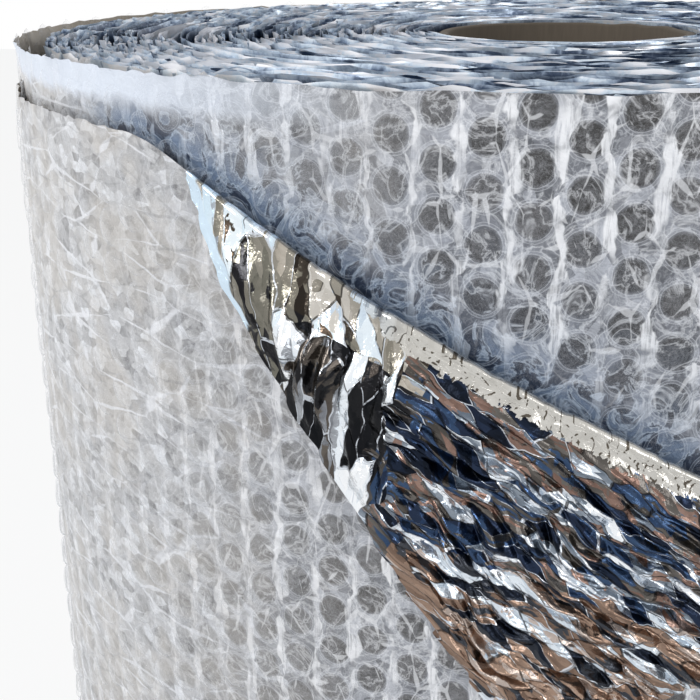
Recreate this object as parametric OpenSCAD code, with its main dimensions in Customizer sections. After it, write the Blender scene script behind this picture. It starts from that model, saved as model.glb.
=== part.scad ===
// Roll of foil bubble insulation, standing on its end.
// The sheet is wound outwards, counter-clockwise seen from above, on a cardboard tube. Its bubbles face
// out and its foil faces in. On the two outermost turns each upright column of bubbles is one rib. The
// outermost turn has slipped down a little, and the top corner of its free end is folded outwards and down,
// so that the foil shows.
// The origin is on the axis of the tube at the bottom face. Directions round the roll are degrees from
// the front, -Y, and grow towards +X. All lengths are millimetres.

/* [Cardboard tube] */
// Inside diameter of the tube
core_bore_d = 76; // [50:1:110]
// Wall of the tube
core_wall = 3.5; // [2:0.5:8]
// How far the tube stops below the top face of the roll
core_recess = 4; // [0:1:20]

/* [Sheet] */
// Width of the sheet, which is the height of the standing roll
sheet_w = 600; // [400:10:1200]
// Thickness of the sheet over its bubbles
sheet_t = 3.1; // [2:0.1:5]
// Number of turns wound on the tube
turns = 35; // [16:1:44]
// Air between one turn and the next
turn_gap = 0.4; // [0.3:0.1:1]
// Air between the tube and the first turn
core_clear = 0.3; // [0.2:0.1:0.6]

/* [Columns of bubbles] */
// Distance from one column of bubbles to the next, along the sheet
column_pitch = 10.24; // [8:0.02:14]
// Width of the crest of a column
crest_w = 5.2; // [3:0.1:6.4]
// Thickness of foil and film between two columns
web_t = 0.8; // [0.5:0.1:1.5]

/* [Loose side] */
// Direction of the side where the turns have come loose
loose_dir = -95; // [-120:5:-60]
// Angle to each side of that direction over which they stand out
loose_spread = 75; // [45:5:75]
// How far the wound turns stand out there
slack_bulge = 9.5; // [0:0.5:20]
// Number of wound turns that share the slack
slack_turns = 12; // [4:1:14]
// Air that the two outermost turns have under them there
loose_air = 5.5; // [0:0.5:12]

/* [Free end and folded corner] */
// Direction of the free end of the sheet
end_dir = 29; // [0:1:40]
// How far the top edge of the outermost turn has slipped down
edge_slip = 15; // [0:1:40]
// Length of top edge that the folded corner takes
fold_along = 186; // [120:2:220]
// Length of free end that the folded corner takes
fold_down = 92; // [60:2:120]
// How far the corner has crept along the fold
corner_creep = 21; // [0:1:30]
// Height of the crumples in the folded corner
crumple_h = 6; // [0:0.5:10]

/* [Hidden] */

// Flat faces in each wound turn, in the last turn as far as the fold, and along the fold
turn_steps = 32;
last_steps = 66;
fold_steps = 20;
// Rows round the bend of the fold and down the folded corner
bend_rows = 5;
flap_rows = 8;
// The bend is rooted this far down the last turn, whose own top edge stops a little below the fold
root_h = 6;
root_cover = 1;
// Crumples across the folded corner, how far they lean over its length, and where they reach full height
crumples = 5;
crumple_lean = 0.7;
crumple_full = 0.35;
// The folded corner ends this share of its length short of a point, as a trimmed corner does
tip_trim = 0.02;
// Share of the last turn over which its top edge sinks
slip_ramp = 0.7;

core_od = core_bore_d + 2 * core_wall;
pitch = sheet_t + turn_gap;
first_r = core_od / 2 + core_clear;
wound = 360 * turns;
last_start = wound - 360;
end_r = first_r + pitch * turns;
fold_angle = fold_along / end_r * 180 / PI;
fold_start = wound - fold_angle;
fold_len = norm([fold_along, fold_down]);
// The folded corner is its own mirror image in the fold, and then creeps along the fold
tip_x = -2 * fold_along * fold_down * fold_down / fold_len / fold_len - corner_creep * fold_along / fold_len;
tip_z = -2 * fold_along * fold_along * fold_down / fold_len / fold_len + corner_creep * fold_down / fold_len;

// Direction from the front of the place where w degrees of sheet have been wound
function dir_at(w) = end_dir - wound + w;
// Smallest signed angle from the loose side
function off_loose(a) = let (d = (a - loose_dir) % 360) d > 180 ? d - 360 : d < -180 ? d + 360 : d;
// A hump from 0 to 1 round the loose side
function hump(a) = let (d = abs(off_loose(a))) d >= loose_spread ? 0 : pow(cos(90 * d / loose_spread), 2);
// Whole turns that lie over this place
function over(w) = floor((wound - w) / 360 + 0.0001);
// How far this turn stands out at the loose side
function slack(w) = over(w) < 2
    ? slack_bulge + loose_air
    : slack_bulge * max(0, 1 - (over(w) - 2) / slack_turns);
// Radius of the foil face of the sheet
function foil_r(w) = first_r + pitch * w / 360 + slack(w) * hump(dir_at(w));
// A point at a direction from the front, a radius and a height
function at(a, r, z) = [r * sin(a), -r * cos(a), z];
// A point in plan where w degrees have been wound, t out from the foil face
function plan_at(w, t) = let (a = dir_at(w), r = foil_r(w) + t) [r * sin(a), -r * cos(a)];
// Top edge of the last turn, which sinks as it goes round, and the line of the fold
function slipped_top(w) = sheet_w - edge_slip * min(1, (w - last_start) / (360 * slip_ramp));
function fold_top(u) = sheet_w - edge_slip - fold_down * u;

// Angle that a length of sheet takes up
function turned(length, w) = length / (foil_r(w) + sheet_t / 2) * 180 / PI;
// Angle from a hollow between two columns of bubbles to the crests beside it
function flank(w) = turned((column_pitch - crest_w) / 2, w);
// The hollows of the two outermost turns, counted back from the free end
first_hollow = wound - turned(column_pitch / 2, wound);
hollows = [for (w = first_hollow; w > last_start - 360; w = w - turned(column_pitch, w)) w];
// Bubble face of the sheet in plan, from w1 back to w2, with the hollows between its columns
function ribbed_face(w1, w2) = [
    plan_at(w1, sheet_t),
    for (w = hollows)
        if (w + flank(w) < w1 && w - flank(w) > w2)
            each [plan_at(w + flank(w), sheet_t), plan_at(w, web_t), plan_at(w - flank(w), sheet_t)],
    plan_at(w2, sheet_t)
];
// Places where the foil face of the last turn has a corner in plan: before the fold, and along it
plain_places = [for (i = [0 : last_steps - 1]) last_start + (fold_start - last_start) * i / last_steps];
fold_places = [for (i = [0 : fold_steps]) fold_start + fold_angle * i / fold_steps];

// Triangles between the rings of a strip: each ring has n points, and both ends are closed
function strip_sides(rings, n) = [
    for (i = [0 : rings - 2], k = [0 : n - 1])
        let (a = i * n + k, b = i * n + (k + 1) % n)
            each [[a, b + n, b], [a, a + n, b + n]]
];

// All turns but the last, as one spiral wall
module wound_turns() {
    step = 360 / turn_steps;
    ribbed_start = last_start - 360;
    linear_extrude(height = sheet_w)
        polygon([
            for (i = [0 : turn_steps * (turns - 1)]) plan_at(i * step, 0),
            each ribbed_face(last_start, ribbed_start),
            for (i = [turn_steps * (turns - 2) - 1 : -1 : 0]) plan_at(i * step, sheet_t)
        ]);
}

// The space above a line round the roll, given as pairs of degrees wound and a height. Outwards it is thicker
// than the sheet. Inwards it stays in the air under the turn, clear of where the turn starts.
module space_above(line, spare) {
    points = [
        for (pair = line)
            let (
                w = pair[0],
                a = dir_at(w),
                inner = foil_r(w) - turn_gap / 2,
                outer = foil_r(w) + sheet_t + spare
            )
                each [
                    at(a, inner, pair[1]),
                    at(a, inner, sheet_w + 2 * spare),
                    at(a, outer, sheet_w + 2 * spare),
                    at(a, outer, pair[1])
                ]
    ];
    last = 4 * (len(line) - 1);
    polyhedron(points, concat(
        [[0, 1, 2, 3]],
        strip_sides(len(line), 4),
        [[last + 3, last + 2, last + 1, last]]
    ));
}

// The last turn, cut along its sunken top edge and then just under the fold
module last_turn() {
    spare = 3;
    before_fold = [last_start - spare, each plain_places, fold_start, fold_start + spare];
    along_fold = [each fold_places, wound + spare];
    difference() {
        linear_extrude(height = sheet_w + spare)
            polygon([
                for (w = concat(plain_places, fold_places)) plan_at(w, 0),
                each ribbed_face(wound, last_start)
            ]);
        space_above([for (w = before_fold) [w, slipped_top(w)]], spare);
        space_above([for (w = along_fold) [w, fold_top((w - fold_start) / fold_angle) - root_cover]], spare);
    }
}

// How far the folded corner stands off the sheet behind it, across u and down v
function crumple(u, v) = let (phase = (u * crumples + crumple_lean * v) % 1)
    crumple_h * min(1, v / crumple_full) * (1 - abs(2 * phase - 1));

// One point of the folded corner. side is 1 on the outside of the bend, where the foil is, and -1 inside it.
// Row 0 is the root in the last turn, then come the rows of the bend, and then those of the folded corner.
function corner_point(u, row, side) =
    let (
        w = fold_start + fold_angle * u,
        mid_r = foil_r(w) + sheet_t / 2,
        bend = 180 * min(max(row - 1, 0), bend_rows - 1) / (bend_rows - 1),
        bend_r = pitch / 2 + side * sheet_t / 2,
        v = max(0, row - bend_rows) / flap_rows * (1 - tip_trim),
        x = -fold_along * (1 - u) * (1 - v) + tip_x * v,
        drop = (-tip_z - fold_down * u) * v,
        flap_w = wound + x / end_r * 180 / PI,
        flap_r = foil_r(flap_w) + sheet_t / 2 + pitch + side * sheet_t / 2 + crumple(u, v)
    )
    row == 0 ? at(dir_at(w), side == 1 ? foil_r(w) : foil_r(w) + web_t, fold_top(u) - root_h)
    : row <= bend_rows
        ? at(dir_at(w), mid_r + pitch / 2 - bend_r * cos(bend), fold_top(u) + bend_r * sin(bend))
    : at(dir_at(flap_w), flap_r, fold_top(u) - drop);

// The top corner of the free end, bent over at its root and folded down over its own bubbles
module folded_corner() {
    rows = bend_rows + flap_rows;
    ring = 2 * (rows + 1);
    points = [
        for (i = [0 : fold_steps])
            let (u = i / fold_steps)
            each concat(
                [for (row = [0 : rows]) corner_point(u, row, 1)],
                [for (row = [rows : -1 : 0]) corner_point(u, row, -1)]
            )
    ];
    last = ring * fold_steps;
    first_end = [for (k = [0 : rows - 1]) each [[k, ring - 2 - k, ring - 1 - k], [k, k + 1, ring - 2 - k]]];
    last_end = [for (f = first_end) [f[0] + last, f[2] + last, f[1] + last]];
    polyhedron(points, concat(first_end, strip_sides(fold_steps + 1, ring), last_end));
}

// The whole sheet, from its first turn on the tube to its folded corner
module bubble_sheet() {
    color([0.78, 0.81, 0.86]) {
        wound_turns();
        last_turn();
        folded_corner();
    }
}

// The cardboard tube, flush at the bottom and a little short at the top
module core_tube() {
    color([0.55, 0.45, 0.33])
        difference() {
            cylinder(d = core_od, h = sheet_w - core_recess, $fn = 96);
            translate([0, 0, -1])
                cylinder(d = core_bore_d, h = sheet_w - core_recess + 2, $fn = 96);
        }
}

bubble_sheet();
core_tube();
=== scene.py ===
"""Looks of a standing roll of foil bubble insulation, built round its packed construction model.

The sheet is clear bubble film welded to bright foil, wound on a cardboard tube with the bubbles facing out.
Every surface is a grid worked out from two directions of the sheet: along its length, counted in degrees
wound on the tube, and down from its top edge. All lengths are metres and all directions are degrees from
the front of the roll, -Y, growing towards +X.
"""

import functools
import math

import bpy
import numpy as np
from mathutils import Matrix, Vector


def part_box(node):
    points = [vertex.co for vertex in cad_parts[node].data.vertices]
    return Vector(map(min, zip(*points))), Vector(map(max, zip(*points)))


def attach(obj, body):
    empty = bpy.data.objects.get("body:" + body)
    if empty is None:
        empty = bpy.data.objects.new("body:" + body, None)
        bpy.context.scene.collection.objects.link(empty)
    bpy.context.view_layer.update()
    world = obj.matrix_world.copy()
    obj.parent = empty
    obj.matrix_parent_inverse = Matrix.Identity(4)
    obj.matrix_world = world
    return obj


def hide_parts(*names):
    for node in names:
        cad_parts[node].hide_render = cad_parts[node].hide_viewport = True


bl_info = {
    "name": "Foil bubble insulation roll",
    "version": (1, 0, 0),
    "blender": (4, 5, 0),
    "location": "View3D > Sidebar > Roll",
    "description": "Builds the bubble film, foil, folded corner and studio of a standing insulation roll",
    "category": "Object",
}

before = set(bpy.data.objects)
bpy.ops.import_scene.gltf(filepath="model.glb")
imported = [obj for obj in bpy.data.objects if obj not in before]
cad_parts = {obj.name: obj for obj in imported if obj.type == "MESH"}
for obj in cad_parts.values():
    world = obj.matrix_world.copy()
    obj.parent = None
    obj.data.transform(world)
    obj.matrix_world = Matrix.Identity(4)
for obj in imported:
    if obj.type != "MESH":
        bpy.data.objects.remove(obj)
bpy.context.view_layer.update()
SHEET_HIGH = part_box("bubble_sheet")[1]
TUBE_LOW, TUBE_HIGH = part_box("core_tube")

MM = 0.001
BODY = "root"

# How the sheet is wound, as in the construction model
TURNS = 35
SHEET_T = 3.1 * MM
TURN_GAP = 0.4 * MM
TURN_PITCH = SHEET_T + TURN_GAP
TUBE_CLEAR = 0.3 * MM
TUBE_WALL = 3.5 * MM
FIRST_R = (TUBE_HIGH.x - TUBE_LOW.x) / 2 + TUBE_CLEAR
END_R = FIRST_R + TURN_PITCH * TURNS
WOUND = 360 * TURNS
LAST_START = WOUND - 360
UNDER_START = WOUND - 720
TOP_Z = SHEET_HIGH.z

# The loose side, where the outer turns stand out
LOOSE_DIR = -95
LOOSE_SPREAD = 75
SLACK_BULGE = 9.5 * MM
SLACK_TURNS = 12
LOOSE_AIR = 5.5 * MM

# How finely the wound turns are drawn along the sheet, and the turns beside the tube, whose edges lie level
WOUND_STEP = 3 * MM
TIGHT_TURNS = 9

# The free end, the slipped edge and the corner that is folded over. EDGE_LIFT and RIM_FLARE are how much
# higher the slipped edge, and how much further out the rim under it, are than in the construction model.
END_DIR = 29
EDGE_SLIP = 15 * MM
SLIP_RAMP = 0.7
EDGE_LIFT = 1.5 * MM
RIM_FLARE = 3.2 * MM
FOLD_ALONG = 186 * MM
FOLD_DOWN = 92 * MM
FOLD_LEN = math.hypot(FOLD_ALONG, FOLD_DOWN)
CORNER_CREEP = 21 * MM
FOLD_ANGLE = math.degrees(FOLD_ALONG / END_R)
FOLD_START = WOUND - FOLD_ANGLE
TIP_X = -(2 * FOLD_ALONG * FOLD_DOWN**2 / FOLD_LEN + CORNER_CREEP * FOLD_ALONG) / FOLD_LEN
TIP_Z = -(2 * FOLD_ALONG**2 * FOLD_DOWN / FOLD_LEN - CORNER_CREEP * FOLD_DOWN) / FOLD_LEN

# Steps of the two outermost turns, which are finer over an arc before the free end
COARSE_DEGREES = 2.0
FINE_DEGREES = 0.9
FINE_ARC = 135

# Two bubbles of one lattice: their directions on the turn under the fold and on the outermost turn
UNDER_BUBBLE_DIR = -8.84
OUTER_BUBBLE_DIR = -24.3
COLUMNS_BETWEEN = 97
FIRST_ROW_DROP = 3.2 * MM

# The photograph's camera, fitted to the roll's rim, core and rows of bubbles. Its place is in shares of the
# roll's radius, and its directions are degrees.
FIT_R = 160 * MM
CAMERA_BACK = 2.483
CAMERA_UP = 0.196
CAMERA_PITCH = -19.957
CAMERA_YAW = -10.313
CAMERA_ROLL = -0.52
FOCAL_PIXELS = 1159.4
PHOTO_PIXELS = 700
SENSOR_MM = 36


class RollSizes(bpy.types.PropertyGroup):
    """Sizes of the film, the foil and their crumples."""

    bubble_pitch: bpy.props.FloatProperty(
        name="Bubble pitch", description="Distance between bubbles in a column", default=11.2 * MM,
        unit="LENGTH")
    bubble_radius: bpy.props.FloatProperty(
        name="Bubble radius", description="Radius of a bubble at its weld", default=4.9 * MM, unit="LENGTH")
    bubble_height: bpy.props.FloatProperty(
        name="Bubble height", description="Height of a full bubble over the foil", default=3.0 * MM,
        unit="LENGTH")
    margin: bpy.props.FloatProperty(
        name="Flat margin", description="Width of the flattened film along the top edge", default=9 * MM,
        unit="LENGTH")
    edge_wave: bpy.props.FloatProperty(
        name="Edge wave", description="How far the cut edges of the wound turns wave in and out",
        default=1.5 * MM, unit="LENGTH")
    edge_rise: bpy.props.FloatProperty(
        name="Edge rise", description="How far the cut edges of the wound turns rise and dip",
        default=0.8 * MM, unit="LENGTH")
    crumple: bpy.props.FloatProperty(
        name="Crumple height", description="Height of the crumples in the folded corner", default=6 * MM,
        unit="LENGTH")
    seed: bpy.props.IntProperty(
        name="Seed", description="Seed of every random draw", default=7)


class RollColours(bpy.types.PropertyGroup):
    """Colours of the film, the foil and the tube, as linear values. Several hold painted light: highlights
    on the film's wrinkles, the dark reflection under a bubble, the grey of the side away from the light,
    and the shade in the tube's hole.
    """

    film: bpy.props.FloatVectorProperty(
        name="Clear film", description="Milky tone of the bubble film", subtype="COLOR",
        default=(0.86, 0.88, 0.92))
    # Painted highlights: the bright wrinkles of film between the bubbles
    wrinkle_highlight: bpy.props.FloatVectorProperty(
        name="Film wrinkles", description="Bright wrinkles of film between the bubbles", subtype="COLOR",
        default=(0.93, 0.93, 0.95))
    # Painted reflection: the dark that the foil under a bubble reflects
    under_bubble_reflection: bpy.props.FloatVectorProperty(
        name="Foil under a bubble", description="Dark foil seen through a bubble", subtype="COLOR",
        default=(0.026, 0.024, 0.023))
    # Painted shade: grey of the foil between bubbles on the side away from the light
    between: bpy.props.FloatVectorProperty(
        name="Foil between bubbles", description="Grey foil under the flat film", subtype="COLOR",
        default=(0.115, 0.122, 0.14))
    # The tube's brown, darkened to the shade deep in its hole: the paper's colour with painted shade
    card_and_hole_shade: bpy.props.FloatVectorProperty(
        name="Cardboard", description="Wound paper of the tube", subtype="COLOR",
        default=(0.068, 0.053, 0.038))
    floor: bpy.props.FloatVectorProperty(
        name="Floor", description="Pale studio floor", subtype="COLOR", default=(0.85, 0.85, 0.85))


def sizes():
    """The sizes that the panel shows."""
    return bpy.context.scene.roll_sizes


def colours():
    """The colours that the panel shows."""
    return bpy.context.scene.roll_colours


def direction(wound):
    """Direction from the front where this many degrees of sheet have been wound."""
    return END_DIR - WOUND + wound


def off_front(angle):
    """The same direction as a number from -180 to 180, which is 0 at the front and negative at the left."""
    return (angle + 180) % 360 - 180


def hump(angle):
    """A squared cosine from 1 at the loose side down to 0 at LOOSE_SPREAD degrees to each side of it."""
    off = np.abs(off_front(angle - LOOSE_DIR))
    return np.where(off < LOOSE_SPREAD, np.cos(np.radians(90 * off / LOOSE_SPREAD)) ** 2, 0)


def foil_radius(wound):
    """An even spiral, plus the hump of the loose side: the two outermost turns stand out most there, and
    the wound turns under them share the slack, less and less towards the tube."""
    over = np.floor((WOUND - wound) / 360 + 0.0001)
    slack = np.where(over < 2, SLACK_BULGE + LOOSE_AIR,
                     SLACK_BULGE * np.maximum(0, 1 - (over - 2) / SLACK_TURNS))
    return FIRST_R + TURN_PITCH * wound / 360 + slack * hump(direction(wound))


def eased(share):
    """Half of a number plus its size, which is 0 and then rises evenly, with a rounded start."""
    return (share + np.sqrt(share**2 + 0.05**2)) / 2


def outer_top(wound):
    """Height of the outermost turn's top edge: it sinks by EDGE_SLIP as it goes round, and then follows the
    fold in a straight line down to the free end."""
    slipped = TOP_Z - (EDGE_SLIP - EDGE_LIFT) * np.clip((wound - LAST_START) / (360 * SLIP_RAMP), 0, 1)
    return slipped - FOLD_DOWN * eased((wound - FOLD_START) / FOLD_ANGLE)


def round_the_roll(angle, radius, height):
    """Points at a direction from the front, a radius and a height."""
    turn = np.radians(angle)
    return np.stack(np.broadcast_arrays(radius * np.sin(turn), -radius * np.cos(turn), height), -1)


def smooth(x, low, high):
    """Rises from 0 at low to 1 at high, level at both ends."""
    t = np.clip((x - low) / (high - low), 0, 1)
    return t * t * (3 - 2 * t)


def value_noise(x, y, seed):
    """Random values from -1 to 1 at whole numbers of x and y, blended smoothly in between."""
    x, y = np.broadcast_arrays(np.asarray(x, float), np.asarray(y, float))
    x0 = np.floor(x).astype(np.int64)
    y0 = np.floor(y).astype(np.int64)
    fx = x - x0
    fy = y - y0
    fx = fx * fx * (3 - 2 * fx)
    fy = fy * fy * (3 - 2 * fy)

    def at(i, j):
        mixed = (i * 374761393 + j * 668265263 + seed * 2246822519) & 0xFFFFFFFF
        mixed = ((mixed ^ (mixed >> 13)) * 1274126177) & 0xFFFFFFFF
        return ((mixed ^ (mixed >> 16)) & 0xFFFF) / 32767.5 - 1

    low = at(x0, y0) * (1 - fx) + at(x0 + 1, y0) * fx
    high = at(x0, y0 + 1) * (1 - fx) + at(x0 + 1, y0 + 1) * fx
    return low * (1 - fy) + high * fy


def course():
    """Two arrays, degrees wound and the length of sheet laid by then, over the last three turns: the length
    is the running sum of radius times angle, and is 0 at the free end."""
    wound = np.linspace(WOUND - 1080, WOUND, 2161)
    radius = foil_radius(wound) + SHEET_T / 2
    steps = (radius[1:] + radius[:-1]) / 2 * np.radians(np.diff(wound))
    length = np.concatenate([[0], np.cumsum(steps)])
    return wound, length - length[-1]


COURSE_WOUND, COURSE_LENGTH = course()


def length_at(wound):
    """Length of sheet laid by then, negative before the free end."""
    return np.interp(wound, COURSE_WOUND, COURSE_LENGTH)


def wound_at(length):
    """Degrees wound where this length of sheet has been laid."""
    return np.interp(length, COURSE_LENGTH, COURSE_WOUND)


COLUMN_ZERO = length_at(UNDER_BUBBLE_DIR - END_DIR + LAST_START)
COLUMN_PITCH = (length_at(OUTER_BUBBLE_DIR - END_DIR + WOUND) - COLUMN_ZERO) / COLUMNS_BETWEEN


def lattice_uv(wound, drop):
    """Columns and rows of bubbles at a place: whole numbers at the bubbles of even columns, and whole
    columns with half rows at those of odd ones. drop is the distance down from the sheet's own top edge."""
    column = (length_at(wound) - COLUMN_ZERO) / COLUMN_PITCH
    row = -(drop - FIRST_ROW_DROP) / sizes().bubble_pitch
    return np.stack(np.broadcast_arrays(column, row), -1)


def own_mesh(name, points, faces, material, uv=None, values=None):
    """A mesh object from an array of points and a list of arrays of faces, each of equal size. uv is one
    pair for each point, and values are named numbers for each point."""
    mesh = bpy.data.meshes.new(name)
    loops = np.concatenate([part.ravel() for part in faces])
    totals = np.concatenate([np.full(len(part), part.shape[1]) for part in faces])
    mesh.vertices.add(len(points))
    mesh.vertices.foreach_set("co", points.astype(np.float32).ravel())
    mesh.loops.add(len(loops))
    mesh.loops.foreach_set("vertex_index", loops.astype(np.int32))
    mesh.polygons.add(len(totals))
    mesh.polygons.foreach_set("loop_start", (np.cumsum(totals) - totals).astype(np.int32))
    mesh.polygons.foreach_set("loop_total", totals.astype(np.int32))
    mesh.update(calc_edges=True)
    mesh.polygons.foreach_set("use_smooth", np.ones(len(totals), bool))
    if uv is not None:
        layer = mesh.uv_layers.new(name="UVMap")
        layer.data.foreach_set("uv", uv[loops].astype(np.float32).ravel())
    for key, numbers in (values or {}).items():
        field = mesh.attributes.new(key, "FLOAT", "POINT")
        field.data.foreach_set("value", np.asarray(numbers, np.float32).ravel())
    mesh.validate()
    mesh.materials.append(material)
    made = bpy.data.objects.new(name, mesh)
    bpy.context.scene.collection.objects.link(made)
    return made


def roll_piece(name, points, faces, material, uv=None, values=None):
    """A mesh that belongs to the roll."""
    piece = own_mesh(name, points, faces, material, uv, values)
    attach(piece, BODY)
    return piece


def grid_faces(columns, rows):
    """Quads of a grid whose points run down each column in turn, facing out where columns run
    counter-clockwise and rows run down."""
    first = (np.arange(columns - 1)[:, None] * rows + np.arange(rows - 1)[None, :]).ravel()
    return np.stack([first, first + 1, first + rows + 1, first + rows], -1)


def grid_piece(name, points, material, uv=None, values=None):
    """A piece from a grid of points, one column after another."""
    columns, rows = points.shape[:2]
    flat_uv = None if uv is None else uv.reshape(-1, 2)
    flat_values = {key: np.broadcast_to(v, (columns, rows)) for key, v in (values or {}).items()}
    faces = [grid_faces(columns, rows)]
    return roll_piece(name, points.reshape(-1, 3), faces, material, flat_uv, flat_values)


def tilts(points, angle):
    """How far each point of a grid leans sideways and upwards: the grid's normal, from the cross product of
    its two directions, set against the roll's own side direction and the vertical."""
    along = np.gradient(points, axis=0)
    down = np.gradient(points, axis=1)
    normal = np.cross(down, along)
    normal /= np.maximum(np.linalg.norm(normal, axis=-1, keepdims=True), 1e-12)
    turn = np.radians(np.broadcast_to(angle, points.shape[:2]))
    side = np.stack([np.cos(turn), np.sin(turn), np.zeros_like(turn)], -1)
    return (normal * side).sum(-1), normal[..., 2]


def spaced(*stretches):
    """One array from stretches of (start, end, step), each filled evenly."""
    parts = [np.linspace(a, b, max(2, round(abs(b - a) / step) + 1))[:-1] for a, b, step in stretches]
    return np.concatenate(parts + [[stretches[-1][1]]])


def wall_relief(wound, height, seed):
    """Long shallow dents in a turn: blended noise at two sizes, stretched along the sheet."""
    x = length_at(wound)
    broad = value_noise(x / (70 * MM), height / (110 * MM), seed)
    fine = value_noise(x / (22 * MM), height / (30 * MM), seed + 1)
    return 0.7 * MM * broad + 0.35 * MM * fine


def edge_crinkle(wound, drop, seed):
    """Waves of a cut edge that die away below it: noise at the size of a bubble and half of it, so that the
    edge leans in and out, and its rise and dip."""
    x = foil_radius(wound) * np.radians(wound)
    lean = value_noise(x / (12 * MM), seed, seed) + 0.35 * value_noise(x / (5 * MM), seed, seed + 3)
    lift = value_noise(x / (16 * MM), seed, seed + 5) + 0.3 * value_noise(x / (6 * MM), seed, seed + 7)
    near = np.exp(-drop / (3.5 * MM))
    return sizes().edge_wave * lean * near, sizes().edge_rise * lift * near


# How the shader editor shows the nodes
NODES_IN_ROW = 12
NODE_SPACE = (220, 320)
FLOAT, VECTOR = "NodeSocketFloat", "NodeSocketVector"


class NodeNet:
    """The nodes of one material, group or world, each set down beside the last one. A value is a number, a
    vector, a colour or the output of another node."""

    def __init__(self, tree):
        """Takes the tree that the nodes go into."""
        self.tree = tree

    def give(self, socket, value):
        """Links an output to an input, or sets the input to a value, a colour of three numbers as
        opaque."""
        if isinstance(value, bpy.types.NodeSocket):
            self.tree.links.new(value, socket)
        elif socket.type == "RGBA" and len(value) == 3:
            socket.default_value = (*value, 1)
        else:
            socket.default_value = value

    def node(self, kind, inputs=None, **settings):
        """A shader node with its settings and input values."""
        made = self.tree.nodes.new("ShaderNode" + kind)
        row, column = divmod(len(self.tree.nodes) - 1, NODES_IN_ROW)
        made.location = (column * NODE_SPACE[0], -row * NODE_SPACE[1])
        for key, value in settings.items():
            setattr(made, key, value)
        for key, value in (inputs or {}).items():
            self.give(made.inputs[key], value)
        return made

    def maths(self, operation, a, b=None, clamp=False):
        """A Math node on one or two values."""
        inputs = {0: a} if b is None else {0: a, 1: b}
        return self.node("Math", inputs, operation=operation, use_clamp=clamp).outputs[0]

    def plus(self, a, b, clamp=False):
        """The sum of two values."""
        return self.maths("ADD", a, b, clamp)

    def minus(self, a, b, clamp=False):
        """One value less another."""
        return self.maths("SUBTRACT", a, b, clamp)

    def times(self, a, b, clamp=False):
        """The product of two values."""
        return self.maths("MULTIPLY", a, b, clamp)

    def vector(self, operation, *values):
        """The outputs of a Vector Math node."""
        return self.node("VectorMath", dict(enumerate(values)), operation=operation).outputs

    def mix(self, share, under, over):
        """A share of one colour laid over another."""
        return self.node("Mix", {0: share, 6: under, 7: over}, data_type="RGBA").outputs[2]

    def ramp(self, source, stops):
        """A colour ramp with stops of (position, colour or grey)."""
        made = self.node("ValToRGB", {0: source})
        elements = made.color_ramp.elements
        while len(elements) < len(stops):
            elements.new(1.0)
        for element, (position, tone) in zip(elements, stops):
            element.position = position
            element.color = (tone, tone, tone, 1) if isinstance(tone, float) else (*tone, 1)
        return made.outputs[0]

    def noise(self, source, scale, detail=2.0, roughness=0.5, distortion=0.0, output=0):
        """Cloudy noise over the places of a source."""
        inputs = {"Vector": source, "Scale": scale, "Detail": detail, "Roughness": roughness}
        return self.node("TexNoise", {**inputs, "Distortion": distortion}).outputs[output]

    def cells(self, source, scale, scatter=1.0, **settings):
        """The outputs of Voronoi cells over the places of a source."""
        return self.node("TexVoronoi", {"Vector": source, "Scale": scale, "Randomness": scatter},
                         voronoi_dimensions="2D", **settings).outputs

    def laid(self, source, scale, turn=0.0, moved=(0, 0, 0), vector_type="POINT"):
        """The places of a source, scaled, turned by radians about Z and moved."""
        return self.node("Mapping", {"Vector": source, "Scale": scale, "Rotation": (0, 0, turn),
                                     "Location": moved}, vector_type=vector_type).outputs[0]

    def attribute(self, name):
        """A number stored on the mesh."""
        return self.node("Attribute", attribute_name=name).outputs["Fac"]

    def group(self, group, source, inputs):
        """The outputs of a group that reads the places of a source."""
        return self.node("Group", {"Place": source, **inputs}, node_tree=group).outputs

    def from_behind(self, tone, colour):
        """A tone, with a plain colour on the back of the surface."""
        return self.mix(self.node("NewGeometry").outputs["Backfacing"], tone, colour)

    def seen(self):
        """1 for what the camera sees, straight, in a reflection or through glass."""
        path = self.node("LightPath").outputs
        mirrored = self.maths("MAXIMUM", path["Is Glossy Ray"], path["Is Transmission Ray"])
        return self.maths("MAXIMUM", path["Is Camera Ray"], mirrored)

    def bump(self, height, strength, distance):
        """A normal that leans with a height."""
        inputs = {"Height": height, "Strength": strength, "Distance": distance}
        return self.node("Bump", inputs).outputs[0]

    def surface(self, inputs):
        """The Principled shader of a material."""
        shader = self.node("BsdfPrincipled", inputs)
        self.node("OutputMaterial", {0: shader.outputs[0]})

    def put_out(self, values):
        """What a group puts out."""
        end = self.tree.nodes.new("NodeGroupOutput")
        for key, value in values.items():
            self.give(end.inputs[key], value)


def new_group(name, inputs, outputs):
    """An empty shader group with named sockets, its nodes, and its inputs as they are seen inside."""
    group = bpy.data.node_groups.new(name, "ShaderNodeTree")
    for way, sockets in (("INPUT", inputs), ("OUTPUT", outputs)):
        for label, kind in sockets.items():
            group.interface.new_socket(name=label, in_out=way, socket_type=kind)
    return group, NodeNet(group), group.nodes.new("NodeGroupInput").outputs


def new_material(name):
    """An empty material and its nodes."""
    made = bpy.data.materials.new(name)
    made.use_nodes = True
    made.node_tree.nodes.clear()
    return made, NodeNet(made.node_tree)


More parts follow.
